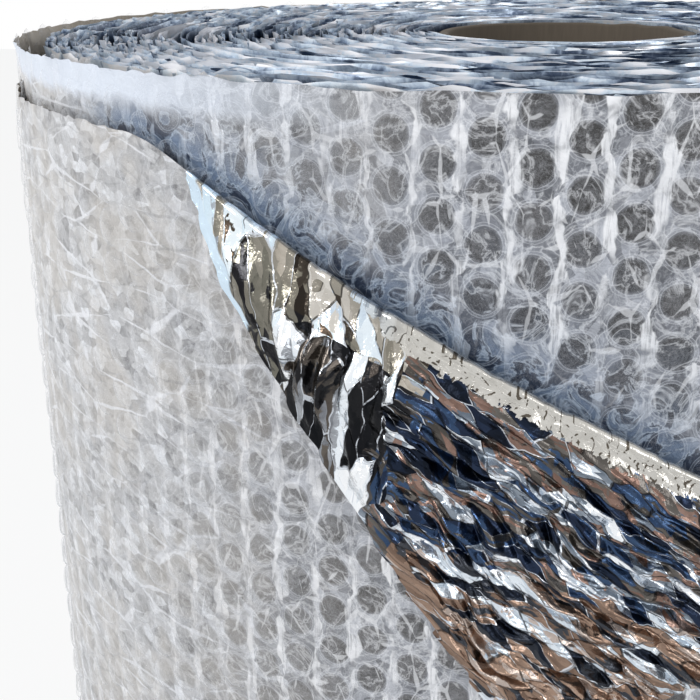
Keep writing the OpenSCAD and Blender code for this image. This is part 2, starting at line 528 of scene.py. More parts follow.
@functools.cache
def lattice_group():
    """Finds the nearest bubble. The column is rounded, odd columns are half a row lower, and the row is
    then rounded: what is left over, times the pitches, is the distance from the bubble's centre."""
    group, net, given = new_group(
        "Bubble lattice", {"Place": VECTOR, "Column pitch": FLOAT, "Row pitch": FLOAT},
        {"Distance": FLOAT, "Bubble": VECTOR})
    x, y = net.node("SeparateXYZ", {0: given["Place"]}).outputs[:2]
    column = net.maths("ROUND", x)
    odd = net.maths("ABSOLUTE", net.maths("MODULO", column, 2.0))
    lowered = net.minus(y, net.times(odd, 0.5))
    row = net.maths("ROUND", lowered)
    dx = net.times(net.minus(x, column), given["Column pitch"])
    dy = net.times(net.minus(lowered, row), given["Row pitch"])
    distance = net.maths("SQRT", net.plus(net.times(dx, dx), net.times(dy, dy)))
    net.put_out({"Distance": distance, "Bubble": net.node("CombineXYZ", {0: column, 1: row}).outputs[0]})
    return group


@functools.cache
def wisps_group():
    """Fine fibres of crumpled film: noise folded about its middle leaves thin bright lines where it crosses
    it."""
    group, net, given = new_group(
        "Film wisps", {"Place": VECTOR, "Scale": FLOAT, "Twist": FLOAT, "Sharpness": FLOAT},
        {"Lines": FLOAT, "Clouds": FLOAT})
    clouds = net.noise(given["Place"], given["Scale"], 4.0, 0.6, given["Twist"])
    centred = net.maths("ABSOLUTE", net.minus(clouds, 0.5))
    line = net.minus(1.0, net.times(centred, given["Sharpness"]), clamp=True)
    net.put_out({"Lines": net.maths("POWER", line, 2.0), "Clouds": clouds})
    return group


@functools.cache
def facet_group():
    """Flat facets of creased foil: Voronoi cells, each with a random tone that slopes across it, split
    again by smaller cells. Line is 1 along the borders, and Height slopes with the facets."""
    group, net, given = new_group(
        "Foil facets", {"Place": VECTOR, "Line width": FLOAT},
        {"Tone": FLOAT, "Choice": FLOAT, "Line": FLOAT, "Height": FLOAT})
    slopes, draws = [], []
    for scale in (1.0, 2.7):
        cells = net.cells(given["Place"], scale)
        offset = net.vector("SUBTRACT", given["Place"], cells["Position"])[0]
        heading = net.vector("SUBTRACT", cells["Color"], (0.5, 0.5, 0.5))[0]
        slopes.append(net.times(net.vector("DOT_PRODUCT", offset, heading)["Value"], scale))
        draws.append(net.node("SeparateColor", {0: cells["Color"]}).outputs)
    small = net.times(net.minus(draws[1][2], 0.5), 0.28)
    border = net.cells(given["Place"], 1.0, feature="DISTANCE_TO_EDGE")["Distance"]
    net.put_out({
        "Tone": net.plus(net.plus(draws[0][2], small), net.times(slopes[0], 0.35)),
        "Choice": draws[0][0],
        "Line": net.maths("LESS_THAN", border, given["Line width"]),
        "Height": net.plus(slopes[0], net.times(slopes[1], 0.4)),
    })
    return group


# How the facets lie in the left, middle and right of the corner: turn of their short side in radians, and
# their short and long sides in mm
FACET_LIES = ((0.24, 4.6, 17.0), (-0.15, 3.4, 17.0), (0.93, 2.2, 12.0))
# Painted reflections of the creased mirror foil, as stops of (share of facets, linear colour), one list for
# each part of the corner: the dark, tan, blue and white tones stand in for what the facets reflect. The
# left is the ground, and the others lie over it in this order.
LEFT_REFLECTIONS = [
    (0.00, (0.012, 0.012, 0.014)), (0.08, (0.030, 0.030, 0.032)), (0.09, (0.15, 0.145, 0.12)),
    (0.33, (0.30, 0.28, 0.24)), (0.34, (0.42, 0.38, 0.32)), (0.47, (0.60, 0.56, 0.50)),
    (0.48, (0.26, 0.29, 0.33)), (0.58, (0.45, 0.50, 0.56)), (0.59, (0.64, 0.79, 0.90)),
    (0.95, (0.86, 0.93, 0.97)), (0.96, (0.06, 0.045, 0.03)), (1.00, (0.16, 0.12, 0.09)),
]
PART_REFLECTIONS = {
    "tan": [
        (0.00, (0.025, 0.020, 0.016)), (0.10, (0.06, 0.05, 0.04)), (0.11, (0.20, 0.185, 0.15)),
        (0.48, (0.38, 0.355, 0.31)), (0.49, (0.46, 0.43, 0.385)), (0.86, (0.66, 0.635, 0.59)),
        (0.87, (0.52, 0.62, 0.73)), (1.00, (0.78, 0.86, 0.92)),
    ],
    "dark": [
        (0.00, (0.005, 0.006, 0.008)), (0.44, (0.020, 0.020, 0.022)), (0.45, (0.07, 0.06, 0.053)),
        (0.60, (0.13, 0.115, 0.10)), (0.61, (0.18, 0.19, 0.21)), (0.72, (0.36, 0.38, 0.41)),
        (0.73, (0.78, 0.84, 0.90)), (1.00, (0.93, 0.95, 0.97)),
    ],
    "right": [
        (0.00, (0.006, 0.009, 0.016)), (0.25, (0.020, 0.032, 0.065)), (0.26, (0.022, 0.045, 0.10)),
        (0.42, (0.045, 0.08, 0.15)), (0.43, (0.055, 0.050, 0.045)), (0.62, (0.14, 0.13, 0.12)),
        (0.63, (0.16, 0.10, 0.08)), (0.76, (0.30, 0.20, 0.165)), (0.77, (0.12, 0.15, 0.19)),
        (0.92, (0.27, 0.31, 0.36)), (0.93, (0.60, 0.67, 0.75)), (1.00, (0.85, 0.88, 0.92)),
    ],
    "low": [
        (0.00, (0.010, 0.014, 0.024)), (0.27, (0.06, 0.065, 0.075)), (0.28, (0.15, 0.10, 0.075)),
        (0.66, (0.36, 0.25, 0.19)), (0.67, (0.38, 0.31, 0.27)), (0.83, (0.52, 0.45, 0.41)),
        (0.84, (0.52, 0.59, 0.67)), (1.00, (0.72, 0.78, 0.84)),
    ],
}


def film_folds(net, source, scale, scatter, width, turn=0.0, spare=0.44):
    """Mask of sharp folds in the film: borders of Voronoi cells about the columns, as wide as a noise
    allows, so that each fold begins and ends in a point."""
    laid = net.laid(source, (*scale, 1.0), turn, (scatter / 2, scatter / 2, 0.0))
    distance = net.cells(laid, 1.0, scatter, feature="DISTANCE_TO_EDGE")["Distance"]
    wide = net.ramp(net.noise(laid, 1.15), [(spare, 0.0), (0.66, 1.0)])
    return net.times(net.minus(net.times(wide, width), distance), 40.0, clamp=True)


def fold_band(net, bent, cloud):
    """The smoother band beside the fold, in painted reflections: cream with small dark creases of painted
    shade, and cold blue where it is narrow."""
    crease_shade = film_folds(net, bent, (0.62, 0.5), 1.0, 0.22, 0.4, 0.52)
    cream = net.mix(cloud, (0.40, 0.385, 0.35), (0.74, 0.725, 0.69))
    cream = net.mix(crease_shade, cream, (0.11, 0.095, 0.075))
    cold = net.mix(net.ramp(cloud, [(0.42, 0.0), (0.52, 1.0)]), (0.13, 0.18, 0.26), (0.62, 0.72, 0.82))
    return net.mix(net.attribute("warm"), cold, cream)


def corner_foil_material():
    """Mirror-bright foil in sharp facets, with its reflections painted into its colour: each facet has a
    tone of its own, a painted reflection taken from the range of its part of the corner, and thin lines of
    painted shade and glints run along the creases. Beside the fold lies a smoother band, and the left edge
    is pale blue, both painted reflections."""
    made, net = new_material("bright_foil")
    uv = net.node("UVMap", uv_map="UVMap").outputs[0]
    bent = uv
    for size, reach in ((0.055, 7.0), (0.22, 1.6)):
        warp = net.noise(uv, size, 1.0, output="Color")
        bent = net.vector("MULTIPLY_ADD", warp, (reach, reach, 0.0), bent)[0]
    for k, (turn, wide, tall) in enumerate(FACET_LIES):
        here = net.laid(bent, (wide, tall, 1.0), turn, (17.0 * k, 0.0, 0.0), "TEXTURE")
        if k == 0:
            laid = here
        else:
            part = net.maths("GREATER_THAN", net.attribute("lie_%d" % k), 0.5)
            laid = net.node("Mix", {0: part, 4: laid, 5: here}, data_type="VECTOR").outputs[1]
    facets = net.group(facet_group(), laid, {"Line width": 0.035})
    cloud = net.noise(bent, 0.35, 4.0, 0.6)
    shift = net.times(net.minus(cloud, 0.5), 0.22)
    mark = net.plus(facets["Tone"], shift, clamp=True)

    # Each facet's tone is a painted reflection, taken from the range of its part of the corner
    tone = net.ramp(mark, LEFT_REFLECTIONS)
    limit = net.plus(net.times(facets["Choice"], 0.5), 0.25)
    for name, stops in PART_REFLECTIONS.items():
        chosen = net.maths("GREATER_THAN", net.attribute(name), limit)
        tone = net.mix(chosen, tone, net.ramp(mark, stops))
    # Painted shade and glints: thin lines along the creases, dark on some facets and pale on others
    line = net.times(facets["Line"], net.ramp(cloud, [(0.40, 0.0), (0.50, 0.8)]))
    crease_shade_and_glint = net.ramp(facets["Choice"], [(0.60, (0.012, 0.011, 0.010)), (0.62, (0.66, 0.70, 0.76))])
    tone = net.mix(line, tone, crease_shade_and_glint)
    # Painted reflections: the smoother band beside the fold
    in_band = net.maths("GREATER_THAN", net.plus(net.attribute("band"), net.times(shift, 7.0)), 0.0)
    tone = net.mix(in_band, tone, fold_band(net, bent, cloud))
    # Painted reflection: the pale blue left edge of the corner
    tone = net.mix(net.attribute("pale_edge_reflection"), tone, (0.66, 0.80, 0.92))
    net.surface({
        "Base Color": net.from_behind(tone, (0.30, 0.29, 0.30)),
        "Metallic": 0.9,
        "Roughness": 0.17,
        "Normal": net.bump(net.plus(facets["Height"], cloud), 0.45, 1.0 * MM),
    })
    return made


def ribbon_highlights(net, uv):
    """Mask of the painted highlights on the upright ribbons of loose film between the columns. They wander
    to and fro round the bubbles, are wide or narrow as one noise allows, bright or dull as another does,
    and are streaked along their length."""
    noises = []
    for k, scale in enumerate(((1.3, 0.9, 1.0), (0.9, 1.1, 1.0), (9.0, 0.9, 1.0), (0.7, 1.0, 1.0))):
        noises.append(net.noise(net.laid(uv, scale, moved=(3.1 * k, 1.7 * k, 0)), 1.0, 2.5, 0.6, 0.6))
    wide, bright, streaked, wander = noises
    column = net.plus(net.node("SeparateXYZ", {0: uv}).outputs[0], net.times(wander, 0.7))
    column = net.minus(column, 0.35)
    across = net.minus(column, net.maths("ROUND", column))
    between = net.times(net.maths("ABSOLUTE", across), 2.0)
    body = net.times(net.minus(net.plus(between, net.times(wide, 1.5)), 1.52), 12.0, clamp=True)
    bright = net.ramp(bright, [(0.40, 0.1), (0.53, 0.85), (0.62, 1.0)])
    streaked = net.ramp(streaked, [(0.38, 0.35), (0.50, 1.0)])
    return net.times(net.times(bright, streaked), body)


def shaded_wall(net, wavy, lattice, disc, wisps, broad):
    """Foil under the film on the side away from the light, all painted shade and reflection: dark discs
    under the bubbles, painted dark reflections, some duller than others, and clouded grey with painted pale
    glints and dark shaded flecks in between."""
    tones = colours()
    chance = net.node("TexWhiteNoise", {"Vector": lattice["Bubble"]}, noise_dimensions="3D").outputs
    dark = net.mix(net.maths("POWER", chance["Value"], 1.6), tones.under_bubble_reflection, (0.095, 0.092, 0.095))
    dark = net.mix(net.times(wisps["Lines"], 0.22), dark, (0.42, 0.42, 0.44))
    cloud = net.ramp(broad["Clouds"], [(0.32, 0.0), (0.68, 1.0)])
    grey = net.mix(cloud, tones.between, (0.36, 0.37, 0.41))
    grey = net.mix(net.times(wisps["Lines"], 0.32), grey, tones.film)
    # Painted glints and shade: pale flecks are glints of crumpled film, dark flecks are shaded facets
    glints_and_shade = net.node("SeparateColor", {0: net.cells(wavy, 3.2)["Color"]}).outputs
    grey = net.mix(net.ramp(glints_and_shade[1], [(0.55, 0.0), (1.0, 0.45)]), grey, (0.62, 0.64, 0.70))
    grey = net.mix(net.ramp(glints_and_shade[0], [(0.70, 0.0), (0.72, 0.45)]), grey, (0.05, 0.052, 0.06))
    return net.mix(disc, grey, dark)


def lit_wall(net, wavy, spot, facets):
    """Film on the side that faces the light: pale facets with fine specks, warm patches, and long light and
    dark creases."""
    speck = net.noise(spot, 700.0, 3.0, 0.7)
    mixed = net.plus(net.times(facets["Tone"], 0.55), net.times(speck, 0.45))
    pale = net.ramp(mixed, [
        (0.14, (0.26, 0.255, 0.26)), (0.32, (0.46, 0.455, 0.46)),
        (0.62, (0.63, 0.625, 0.63)), (0.84, (0.86, 0.87, 0.90)),
    ])
    warmth = net.ramp(net.noise(spot, 45.0, 3.0, 0.6), [(0.44, 0.0), (0.60, 0.5)])
    pale = net.mix(warmth, pale, (0.60, 0.55, 0.49))
    for turn, scale, share, shade in ((0.42, (0.30, 1.25), 0.75, 0.90), (0.30, (0.42, 1.7), 0.3, 0.20)):
        creases = film_folds(net, wavy, scale, 0.9, 0.07, turn, 0.42)
        pale = net.mix(net.times(creases, share), pale, (shade, shade, shade * 1.03))
    return pale


def slate_wall(net, broad, lines):
    """The dark blue shade over the fold, with pale blue lines of film."""
    clouds = net.ramp(broad["Clouds"], [(0.42, 0.0), (0.60, 1.0)])
    slate = net.mix(clouds, (0.014, 0.028, 0.062), (0.15, 0.215, 0.33))
    slate = net.mix(net.times(broad["Lines"], 0.8), slate, (0.46, 0.56, 0.70))
    return net.mix(net.times(lines, 0.5), slate, (0.52, 0.60, 0.72))


def painted_light_hem(net, uv, broad):
    """Mask of the ragged white margin along the top edge, painted light on the flat film. Its distance from
    the edge, in mm, comes from the rows of bubbles."""
    row = net.node("SeparateXYZ", {0: uv}).outputs[1]
    drop = net.plus(net.times(row, -sizes().bubble_pitch / MM), FIRST_ROW_DROP / MM)
    ragged = net.plus(drop, net.times(broad["Clouds"], 7.0))
    return net.ramp(net.maths("DIVIDE", ragged, 20.0), [(0.50, 1.0), (0.66, 0.0)])


def bubble_wall_material():
    """Foil seen through clear film: dark discs under the bubbles, which are painted reflections, thin light
    rings round them, the welds with a painted highlight on the dome's rim, and bright upright ribbons of
    film between the columns, which are painted highlights. The side that faces the light is paler and
    creased, the top edge has a white margin of painted light there, and foil beside the fold is slate blue,
    a painted shade."""
    made, net = new_material("bubble_wall")
    wrinkle_highlight_tone = colours().wrinkle_highlight
    uv = net.node("UVMap", uv_map="UVMap").outputs[0]
    spot = net.node("TexCoord").outputs["Object"]
    wavy = net.vector("MULTIPLY_ADD", net.noise(uv, 1.7, output="Color"), (0.11, 0.11, 0.0), uv)[0]
    wavy = net.vector("SUBTRACT", wavy, (0.055, 0.055, 0.0))[0]
    pitches = {"Column pitch": COLUMN_PITCH / MM, "Row pitch": sizes().bubble_pitch / MM}
    lattice = net.group(lattice_group(), wavy, pitches)
    wisps = net.group(wisps_group(), spot, {"Scale": 300.0, "Twist": 2.2, "Sharpness": 11.0})
    broad = net.group(wisps_group(), spot, {"Scale": 120.0, "Twist": 1.4, "Sharpness": 16.0})
    facets = net.group(facet_group(), net.laid(wavy, (2.5, 3.9, 1.0), 0.35), {"Line width": 0.03})
    distance = net.maths("DIVIDE", lattice["Distance"], 8.0)
    disc = net.ramp(distance, [(0.0, 0.88), (0.40, 1.0), (0.49, 0.55), (0.53, 0.0)])
    ring = net.ramp(distance, [
        (0.505, 0.0), (0.52, 1.0), (0.535, 0.15), (0.585, 0.1), (0.60, 0.9), (0.62, 0.0),
    ])
    wrinkle_highlight = ribbon_highlights(net, uv)
    fold_highlight = film_folds(net, wavy, (1.5, 1.0), 0.9, 0.09, 0.5)

    tone = shaded_wall(net, wavy, lattice, disc, wisps, broad)
    # Thin light rings round each bubble: partly its weld line, partly a painted highlight on the dome's
    # steep rim
    tone = net.mix(net.times(ring, 0.55), tone, (0.72, 0.73, 0.77))
    # Painted highlights: sharp folds, upright ribbons and fine lines of wrinkled film are laid over in
    # white
    tone = net.mix(net.times(fold_highlight, 0.5), tone, wrinkle_highlight_tone)
    tone = net.mix(wrinkle_highlight, tone, wrinkle_highlight_tone)
    tone = net.mix(net.times(broad["Lines"], 0.45), tone, wrinkle_highlight_tone)
    tone = net.mix(net.attribute("lit"), tone, lit_wall(net, wavy, spot, facets))
    tone = net.mix(net.attribute("shade"), tone, slate_wall(net, broad, net.maths("MAXIMUM", ring, wrinkle_highlight)))
    # Painted light: the flat margin along the top edge is white where the light falls on it
    tone = net.mix(net.times(painted_light_hem(net, uv, broad), net.attribute("margin")), tone, (0.76, 0.81, 0.90))
    relief = net.plus(net.times(wrinkle_highlight, 0.8), net.plus(wisps["Clouds"], facets["Height"]))
    net.surface({
        "Base Color": net.from_behind(tone, (0.32, 0.275, 0.22)),
        "Metallic": 0.25,
        "Roughness": 0.38,
        "Coat Weight": 0.15,
        "Coat Roughness": 0.12,
        "Normal": net.bump(relief, 0.35, 0.6 * MM),
    })
    return made


def bubble_film_material():
    """Clear film of the bubbles: nearly unseen face on, and whiter where it turns away, which is partly its
    haze and partly a painted sheen, with wisps and wrinkles."""
    made, net = new_material("bubble_film")
    spot = net.node("TexCoord").outputs["Object"]
    wisps = net.group(wisps_group(), spot, {"Scale": 420.0, "Twist": 1.8, "Sharpness": 11.0})
    facing = net.node("LayerWeight", {"Blend": 0.5}).outputs["Facing"]
    # Painted sheen: the white film shows more where it turns away, partly for its haze
    rim = net.times(net.maths("POWER", facing, 4.0), 0.5)
    haze_and_sheen = net.plus(rim, net.times(wisps["Lines"], 0.09))
    net.surface({
        "Base Color": colours().film,
        "Roughness": 0.1,
        "Alpha": net.plus(haze_and_sheen, 0.012, clamp=True),
        "Normal": net.bump(wisps["Clouds"], 0.5, 0.5 * MM),
    })
    return made


def edge_material(name, pale):
    """Cut edges of the wound turns, in painted light and reflection: pale blue foil and film where they
    lean up, navy painted shade in the gaps.
    """
    made, net = new_material(name)
    spot = net.node("TexCoord").outputs["Object"]
    crinkle = net.group(wisps_group(), spot, {"Scale": 260.0, "Twist": 1.2, "Sharpness": 6.0})
    shift = net.times(net.minus(crinkle["Clouds"], 0.5), 0.6)
    tone = net.ramp(net.plus(net.attribute("lean"), shift, clamp=True), [
        (0.00, (0.010, 0.016, 0.032)), (0.30, (0.030, 0.055, 0.11)), (0.42, (0.13, 0.17, 0.25)),
        (0.52, (0.40, 0.48, 0.60)), (0.66, (0.70, 0.80, 0.90)), (0.80, (pale, pale, min(1.0, pale * 1.03))),
    ])
    net.surface({"Base Color": tone, "Metallic": 0.55, "Roughness": 0.28})
    return made


def cardboard_material():
    """Wound grey-brown paper, darkened with painted shade for the deep hole, with fine upright fibres and a
    few scuffs.
    """
    made, net = new_material("wound_cardboard")
    spot = net.node("TexCoord").outputs["Object"]
    fibres = net.noise(net.laid(spot, (1.0, 1.0, 0.12)), 900.0, 5.0)
    base = colours().card_and_hole_shade
    tone = net.mix(fibres, [c * 0.75 for c in base], [c * 1.45 for c in base])
    tone = net.mix(net.times(net.noise(spot, 35.0, 3.0), 0.35), tone, (0.13, 0.105, 0.078))
    net.surface({"Base Color": tone, "Roughness": 0.85, "Normal": net.bump(fibres, 0.3, 0.3 * MM)})
    return made


def floor_material():
    """Pale floor that is nearly white to the camera, and keeps the roll's soft shadow."""
    made, net = new_material("studio_floor")
    shader = net.node("BsdfPrincipled", {"Base Color": colours().floor, "Roughness": 0.9})
    glow = net.node("Emission", {"Color": (1, 1, 1, 1), "Strength": 1.0})
    seen = net.times(net.seen(), 0.85)
    mixed = net.node("MixShader", {0: seen, 1: shader.outputs[0], 2: glow.outputs[0]})
    net.node("OutputMaterial", {0: mixed.outputs[0]})
    return made


FLOOR_SIDE = 12.0
# Name, place, what it points at, width and watts of each soft lamp
LAMPS = (
    ("key_lamp", (-1.5, -1.0, 1.7), (0, 0, 0.45), 0.9, 24.0),
    ("fill_lamp", (1.6, -1.4, 1.1), (0, 0, 0.4), 1.2, 9.0),
)


class ROLL_OT_stage(bpy.types.Operator):
    """Floor, soft lamps, white background and the photograph's camera"""

    bl_idname = "roll.stage"
    bl_label = "Studio and camera"

    def execute(self, context):
        scene = context.scene
        far = FLOOR_SIDE / 2
        corners = np.array([(-far, -far, 0), (far, -far, 0), (far, far, 0), (-far, far, 0)], float)
        floor = own_mesh("studio_floor", corners, [np.array([[0, 1, 2, 3]])], floor_material())

        world = bpy.data.worlds.new("white_background")
        scene.world = world
        world.use_nodes = True
        world.node_tree.nodes.clear()
        net = NodeNet(world.node_tree)
        plain = net.node("Background", {"Color": (1, 1, 1, 1), "Strength": 1.0})
        soft = net.node("Background", {"Color": (0.90, 0.95, 1.0, 1), "Strength": 0.55})
        mixed = net.node("MixShader", {0: net.seen(), 1: soft.outputs[0], 2: plain.outputs[0]})
        net.node("OutputWorld", {0: mixed.outputs[0]})

        for name, spot, aim, width, power in LAMPS:
            lamp = bpy.data.lights.new(name, "AREA")
            lamp.shape = "DISK"
            lamp.size = width
            lamp.energy = power
            holder = bpy.data.objects.new(name, lamp)
            scene.collection.objects.link(holder)
            holder.matrix_world = facing(spot, aim)

        camera = bpy.data.cameras.new("photo_camera")
        camera.sensor_width = SENSOR_MM
        camera.lens = FOCAL_PIXELS / PHOTO_PIXELS * SENSOR_MM
        camera.clip_start = 0.01
        holder = bpy.data.objects.new("photo_camera", camera)
        scene.collection.objects.link(holder)
        holder.matrix_world = camera_place()
        scene.camera = holder
        scene.view_settings.view_transform = "Standard"
        return {"FINISHED"}


def facing(spot, aim):
    """A lamp's place and turn: its -Z axis looks from spot to aim."""
    spot = np.array(spot, float)
    back = spot - np.array(aim, float)
    back /= np.linalg.norm(back)
    right = np.cross((0, 0, 1), back)
    right /= np.linalg.norm(right)
    up = np.cross(back, right)
    return Matrix([[right[i], up[i], back[i], spot[i]] for i in range(3)] + [[0, 0, 0, 1]])


def camera_place():
    """The fitted camera: it looks along a yaw and a pitch from straight ahead, and is rolled a little."""
    pitch, yaw, roll = (math.radians(a) for a in (CAMERA_PITCH, CAMERA_YAW, CAMERA_ROLL))
    ahead = np.array([math.sin(yaw) * math.cos(pitch), math.cos(yaw) * math.cos(pitch), math.sin(pitch)])
    level = np.cross(ahead, (0, 0, 1))
    level /= np.linalg.norm(level)
    upright = np.cross(level, ahead)
    right = level * math.cos(roll) + upright * math.sin(roll)
    up = upright * math.cos(roll) - level * math.sin(roll)
    spot = (0, -CAMERA_BACK * FIT_R, TOP_Z + CAMERA_UP * FIT_R)
    return Matrix([[right[i], up[i], -ahead[i], spot[i]] for i in range(3)] + [[0, 0, 0, 1]])


class ROLL_OT_wound_turns(bpy.types.Operator):
    """The wound turns as one long strip of foil and one of film, with crinkled cut edges"""

    bl_idname = "roll.wound_turns"
    bl_label = "Wound turns"

    def execute(self, context):
        # Steps along the strip are even in length, so the degrees wound grow with the square root of the
        # length, as on any even spiral. Its rows lie close to the top edge and to the bottom edge. A row's
        # radius is the turn's own plus the lean of the crinkle, and the film also stands out over bubbles.
        seed = sizes().seed
        mean_r = (foil_radius(0.0) + foil_radius(float(UNDER_START))) / 2
        count = int(math.radians(UNDER_START) * mean_r / WOUND_STEP)
        turned = np.linspace(0, 1, count + 1)
        r0, r1 = float(foil_radius(0.0)), FIRST_R + TURN_PITCH * UNDER_START / 360
        wound = (np.sqrt(r0**2 + turned * (r1**2 - r0**2)) - r0) / (r1 - r0) * UNDER_START
        drops = np.array([0, 1.1, 3.0, 7.0, 16.0]) * MM
        heights = np.concatenate([TOP_Z - drops, drops[::-1]])
        w, z = np.meshgrid(wound, heights, indexing="ij")
        drop = np.minimum(TOP_Z - z, z)
        upper = z > TOP_Z / 2
        lean, lift = edge_crinkle(w, drop, seed)
        turn_no = np.floor(w / 360)
        away = smooth(w, 0, 360 * TIGHT_TURNS)
        proud = 0.7 * MM * value_noise(turn_no * 0.7, direction(w) / 40, seed + 11)
        rise = np.where(upper, away * (lift + proud * np.exp(-drop / (20 * MM))), np.maximum(lift, 0))
        angle = direction(w)
        radius = foil_radius(w)
        foil = round_the_roll(angle, radius + np.clip(lean, -1.2 * MM, 1.6 * MM), z + rise)
        side, up = tilts(foil, angle)
        length = radius * np.radians(w)
        # Painted light and shade: the edges are paler where they lean up and sideways, and on the left
        # side, which faces the light, and darker deeper down between the turns; glow also varies at random
        # along each turn
        glow = value_noise(length / (16 * MM), turn_no, seed + 15)
        glow = glow + 0.35 * smooth(-off_front(angle), 8, 40)
        tone = 0.58 + 0.28 * glow + 0.5 * up + 0.35 * side - 0.085 * np.clip(drop / MM, 0, 16)
        grid_piece("wound_foil", foil, edge_material("wound_foil_edges", 0.86), values={"lean": tone})

        bubble = np.abs(np.sin(np.pi * length / COLUMN_PITCH)) ** 0.7
        puffed = 0.6 + 0.4 * value_noise(length / (15 * MM), turn_no, seed + 13)
        stand = (0.5 + 2.0 * bubble * puffed) * MM
        flop, film_lift = edge_crinkle(w, drop, seed + 20)
        upper_rise = away * (film_lift + proud * np.exp(-drop / (20 * MM)))
        rise = np.where(upper, upper_rise, np.maximum(film_lift, 0))
        film = round_the_roll(angle, radius + np.clip(stand + 0.8 * flop, 0.3 * MM, 3.4 * MM), z + rise)
        side, up = tilts(film, angle)
        # The film's edges get the same painted light and shade
        tone = 0.66 + 0.28 * glow + 0.5 * up + 0.35 * side - 0.10 * np.clip(drop / MM, 0, 16)
        grid_piece("wound_film", film, edge_material("wound_film_edges", 0.95), values={"lean": tone})
        return {"FINISHED"}


def lit_share(angle, height):
    """How pale the wall is: most on the left side, which faces the light, less far below the top edge
    there, and hardly at all on the front, right and back."""
    off = off_front(angle)
    pale = 0.90 - 0.15 * smooth(TOP_Z - height, 60 * MM, 130 * MM)
    return 0.02 + pale * smooth(-off, 6, 46) * smooth(off, -165, -110)


class ROLL_OT_outer_turns(bpy.types.Operator):
    """The foil of the two outermost turns, seen through the flat film between the bubbles"""

    bl_idname = "roll.outer_turns"
    bl_label = "Outer turns"

    def execute(self, context):
        # A point's radius is the turn's own plus long dents and the lean of the cut edge. The rows of the
        # outermost turn are shares of its height. Those of the turn under it are distances from the top.
        seed = sizes().seed
        wall = bubble_wall_material()
        front = WOUND - FINE_ARC
        wound = spaced((LAST_START, front, COARSE_DEGREES), (front, WOUND, FINE_DEGREES))
        share = spaced((0, 0.03, 0.004), (0.03, 0.45, 0.006), (0.45, 1, 0.012))
        w, t = np.meshgrid(wound, share, indexing="ij")
        top = outer_top(w)
        z = top * (1 - t)
        lean, lift = edge_crinkle(w, top - z, seed + 31)
        before_fold = smooth(FOLD_START - w, 0, 6)
        radius = foil_radius(w) + wall_relief(w, z, seed) + lean * 0.5 * before_fold
        points = round_the_roll(direction(w), radius, z + np.where(z > 0.1, lift * 0.6 * before_fold, 0))
        uv = lattice_uv(w, outer_top(np.minimum(w, FOLD_START)) - z)
        values = {"lit": lit_share(direction(w), z), "shade": 0 * z, "margin": 0 * z}
        outer_turn = grid_piece("outer_turn", points, wall, uv, values)
        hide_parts("bubble_sheet")

        front = LAST_START - FINE_ARC
        wound = spaced((UNDER_START, front, COARSE_DEGREES), (front, LAST_START, FINE_DEGREES))
        drop = np.concatenate([spaced((0, 12, 1.2), (12, 130, 3.0)), spaced((140, 600, 46.0))]) * MM
        w, d = np.meshgrid(wound, drop, indexing="ij")
        z = np.maximum(TOP_Z - d, 0)
        lean, lift = edge_crinkle(w, d, seed + 41)
        radius = foil_radius(w) + wall_relief(w, z, seed + 5) + lean * 0.6
        flare = RIM_FLARE * hump(direction(w)) * np.exp(-d / (12 * MM))
        points = round_the_roll(direction(w), radius + flare, z + lift * 0.7)
        uv = lattice_uv(w, d)
        above = z - outer_top(w + 360)
        a = direction(w + 360)
        near = np.exp(-np.maximum(above, 0) / (5 * MM)) + 0.5 * np.exp(-np.maximum(above, 0) / (16 * MM))
        dusk = np.minimum(near, 1) * smooth(a, -54, -38)
        # Share of the white margin of painted light, on the left side, which faces the light
        strip = smooth(-a, 8, 46) * smooth(a, -150, -110)
        lit = 0.3 * smooth(-a, 6, 16) + 0.6 * smooth(-a, 26, 46)
        grid_piece("turn_under", points, wall, uv, {"lit": lit, "shade": 0.95 * dusk, "margin": strip})
        return {"FINISHED"}


def bubble_places():
    """Columns and rows of every bubble that shows, as degrees wound, height and the distance from the
    nearest edge of the sheet. On the turn under the outermost one, only those above its edge show."""
    first = int(math.ceil((length_at(UNDER_START) - COLUMN_ZERO) / COLUMN_PITCH))
    last = int(math.floor((0 - COLUMN_ZERO) / COLUMN_PITCH))
    column, row = np.meshgrid(np.arange(first, last + 1), np.arange(0, 56), indexing="ij")
    drop = FIRST_ROW_DROP + (row + 0.5 * (column % 2)) * sizes().bubble_pitch
    wound = wound_at(COLUMN_ZERO + column * COLUMN_PITCH)
    outer = wound > LAST_START
    sheet_top = np.where(outer, outer_top(np.minimum(wound, FOLD_START)), TOP_Z)
    height = sheet_top - drop
    edge = np.where(outer, outer_top(wound) - height, drop)
    covered = ~outer & (height < outer_top(wound + 360) - 12 * MM)
    keep = (edge > 2.5 * MM) & (height > 5 * MM) & (length_at(wound) < -5.5 * MM) & ~covered
    return wound[keep], height[keep], edge[keep], outer[keep]


# Height and reach of a dome's rings, as shares of the full bubble, and how far a dent sinks each ring
DOME_RISE = np.array([-0.03, 0.42, 0.84, 0.97])
DOME_REACH = np.array([1.0, 0.97, 0.80, 0.46])
DOME_SAG = np.array([0, 0, 0.25, 0.7])
DOME_SEGMENTS = 12


